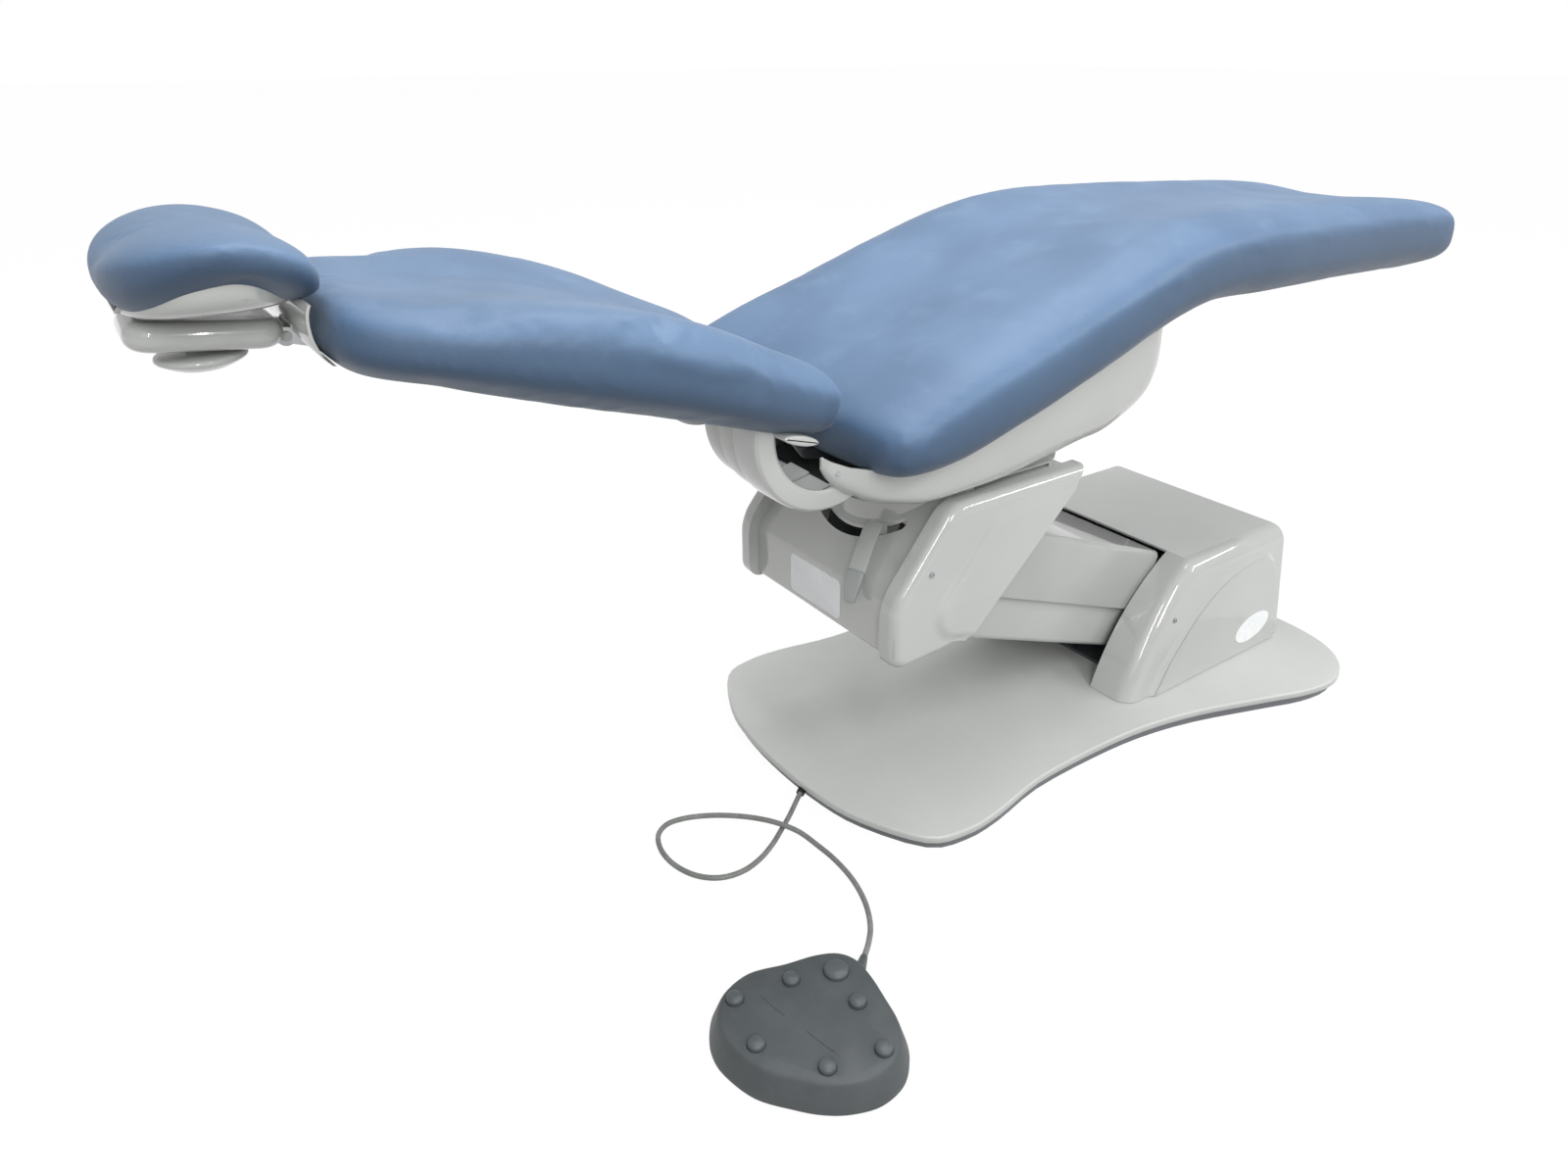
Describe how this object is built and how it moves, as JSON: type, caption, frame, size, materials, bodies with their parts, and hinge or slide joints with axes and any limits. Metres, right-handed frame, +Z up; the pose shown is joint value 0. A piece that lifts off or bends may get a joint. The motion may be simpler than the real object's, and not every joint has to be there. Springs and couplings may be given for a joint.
{
  "type": "orthodontic chair",
  "caption": "Low reclined orthodontic chair on a lift arm, with one-piece seat and leg pad, winged back, headrest and corded foot control.",
  "frame": {"origin": "on the floor under the middle of the base plate", "axes": "+X towards the foot end, +Z up, +Y towards the side away from the foot control"},
  "size_m": [1.99, 0.8432, 0.8765],
  "materials": {
    "cover_paint": "glossy",
    "arm_paint": "glossy",
    "plate_paint": "satin",
    "skirt": "matte",
    "frame_steel": "satin",
    "shaft_steel": "satin",
    "upholstery": "satin",
    "board_wood": "matte",
    "foot_rubber": "matte",
    "pod_plastic": "matte",
    "cord_jacket": "satin",
    "dark_plastic": "matte",
    "circuit": "satin",
    "housing_metal": "satin"
  },
  "bodies": {
    "base": {"base_plate": "plate_paint", "base_skirt": "skirt", "base_frame": "frame_steel", "lower_base_shaft": "shaft_steel", "upper_base_shaft": "shaft_steel", "base_cover": "cover_paint", "base_cover_screws": "shaft_steel", "power_supply": "housing_metal", "control_box": "dark_plastic", "power_inlet": "dark_plastic", "lift_motor_bracket": "frame_steel", "cord_gland": "dark_plastic", "cord": "cord_jacket", "pod_strain_relief": "foot_rubber", "pod_shell": "pod_plastic", "pod_base": "dark_plastic", "pod_feet": "foot_rubber", "pod_board": "circuit"},
    "lower_link": {"lower_link": "frame_steel", "lower_arm_cover": "arm_paint"},
    "upper_link": {"upper_link": "frame_steel", "upper_arm_cover": "arm_paint"},
    "lift_tube": {"lift_tube": "frame_steel"},
    "lift_rod": {"lift_rod": "shaft_steel"},
    "head": {"head_frame": "frame_steel", "lower_head_shaft": "shaft_steel", "upper_head_shaft": "shaft_steel", "head_front_cover": "cover_paint", "head_near_cover": "cover_paint", "head_far_cover": "cover_paint", "head_cover_screws": "shaft_steel", "turret_skirt": "cover_paint", "swivel_bearing": "shaft_steel"},
    "brake_lever": {"brake_lever": "arm_paint"},
    "seat": {"swivel_spindle": "shaft_steel", "seat_frame": "frame_steel", "seat_pan": "cover_paint", "seat_pan_screws": "shaft_steel", "seat_board": "board_wood", "seat_cushion": "upholstery", "hinge_shaft": "shaft_steel"},
    "back_tube": {"back_tube": "frame_steel"},
    "back_rod": {"back_rod": "shaft_steel"},
    "back": {"back_frame": "frame_steel", "back_shell": "cover_paint", "hinge_covers": "cover_paint", "back_cushion": "upholstery"},
    "headrest_bar": {"headrest_bar": "shaft_steel"},
    "headrest_box": {"headrest_box": "cover_paint"},
    "headrest": {"headrest_shell": "cover_paint", "headrest_cushion": "upholstery"},
    "headrest_knob": {"headrest_knob": "cover_paint"},
    "button_1": {"button_1": "pod_plastic"},
    "button_2": {"button_2": "pod_plastic"},
    "button_3": {"button_3": "pod_plastic"},
    "button_4": {"button_4": "pod_plastic"},
    "button_5": {"button_5": "pod_plastic"},
    "button_6": {"button_6": "pod_plastic"},
    "big_button": {"big_button": "pod_plastic"}
  },
  "joints": [
    {"name": "lift", "type": "hinge", "parent": "base", "child": "lower_link", "pos_m": [0.2, 0, 0.08], "axis": [0, 1, 0], "range_deg": [-21, 27]},
    {"name": "upper_link_pivot", "type": "hinge", "parent": "base", "child": "upper_link", "pos_m": [0.235, 0, 0.175], "axis": [0, 1, 0], "range_deg": [-21, 27]},
    {"name": "head_level", "type": "hinge", "parent": "lower_link", "child": "head", "pos_m": [-0.32281, 0, 0.28069], "axis": [0, 1, 0], "range_deg": [-27, 21]},
    {"name": "lift_tube_pivot", "type": "hinge", "parent": "base", "child": "lift_tube", "pos_m": [0.15, 0, 0.05], "axis": [0, 1, 0], "range_deg": [-21, 27]},
    {"name": "lift_rod_travel", "type": "slide", "parent": "lift_tube", "child": "lift_rod", "axis": [-0.7258, 0, 0.6879], "range_m": [-0.06, 0.08]},
    {"name": "brake_lever_swing", "type": "hinge", "parent": "head", "child": "brake_lever", "pos_m": [-0.2, 0, 0.412], "axis": [0, 0, 1], "range_deg": [-30, 4]},
    {"name": "seat_swivel", "type": "hinge", "parent": "head", "child": "seat", "pos_m": [-0.2, 0, 0.46], "axis": [0, 0, 1], "range_deg": [-30, 30]},
    {"name": "recline", "type": "hinge", "parent": "seat", "child": "back", "pos_m": [-0.541, 0, 0.603], "axis": [0, 1, 0], "range_deg": [-10, 50]},
    {"name": "back_tube_pivot", "type": "hinge", "parent": "seat", "child": "back_tube", "pos_m": [-0.275, 0, 0.492], "axis": [0, 1, 0], "range_deg": [-2, 1]},
    {"name": "back_rod_travel", "type": "slide", "parent": "back_tube", "child": "back_rod", "axis": [-0.9848, 0, 0.1736], "range_m": [-0.015, 0.065]},
    {"name": "headrest_reach", "type": "slide", "parent": "back", "child": "headrest_bar", "axis": [-0.9563, 0, 0.2924], "range_m": [0, 0.12]},
    {"name": "headrest_link_tilt", "type": "hinge", "parent": "headrest_bar", "child": "headrest_box", "pos_m": [-1.061, 0, 0.757], "axis": [0, 1, 0], "range_deg": [-40, 4]},
    {"name": "headrest_tilt", "type": "hinge", "parent": "headrest_box", "child": "headrest", "pos_m": [-1.17, 0, 0.771], "axis": [0, 1, 0], "range_deg": [-30, 0]},
    {"name": "knob_turn", "type": "hinge", "parent": "headrest_box", "child": "headrest_knob", "pos_m": [-1.131, 0, 0.745], "axis": [0, 0, 1], "range_deg": [-180, 180]},
    {"name": "button_1_press", "type": "slide", "parent": "base", "child": "button_1", "axis": [0, 0, -1], "range_m": [0, 0.0022], "stiffness_N_per_m": 700},
    {"name": "button_2_press", "type": "slide", "parent": "base", "child": "button_2", "axis": [0, 0, -1], "range_m": [0, 0.0022], "stiffness_N_per_m": 700},
    {"name": "button_3_press", "type": "slide", "parent": "base", "child": "button_3", "axis": [0, 0, -1], "range_m": [0, 0.0022], "stiffness_N_per_m": 700},
    {"name": "button_4_press", "type": "slide", "parent": "base", "child": "button_4", "axis": [0, 0, -1], "range_m": [0, 0.0022], "stiffness_N_per_m": 700},
    {"name": "button_5_press", "type": "slide", "parent": "base", "child": "button_5", "axis": [0, 0, -1], "range_m": [0, 0.0022], "stiffness_N_per_m": 700},
    {"name": "button_6_press", "type": "slide", "parent": "base", "child": "button_6", "axis": [0, 0, -1], "range_m": [0, 0.0022], "stiffness_N_per_m": 700},
    {"name": "big_button_press", "type": "slide", "parent": "base", "child": "big_button", "axis": [0, 0, -1], "range_m": [0, 0.0022], "stiffness_N_per_m": 900}
  ],
  "couplings": [
    {"joint": "upper_link_pivot", "follows": "lift", "ratio": 1},
    {"joint": "head_level", "follows": "lift", "ratio": -1},
    {"joint": "lift_tube_pivot", "follows": "lift", "ratio": 0.91},
    {"joint": "lift_rod_travel", "follows": "lift", "m_per_rad": 0.1478},
    {"joint": "back_tube_pivot", "follows": "recline", "ratio": -0.03},
    {"joint": "back_rod_travel", "follows": "recline", "m_per_rad": 0.0688}
  ]
}
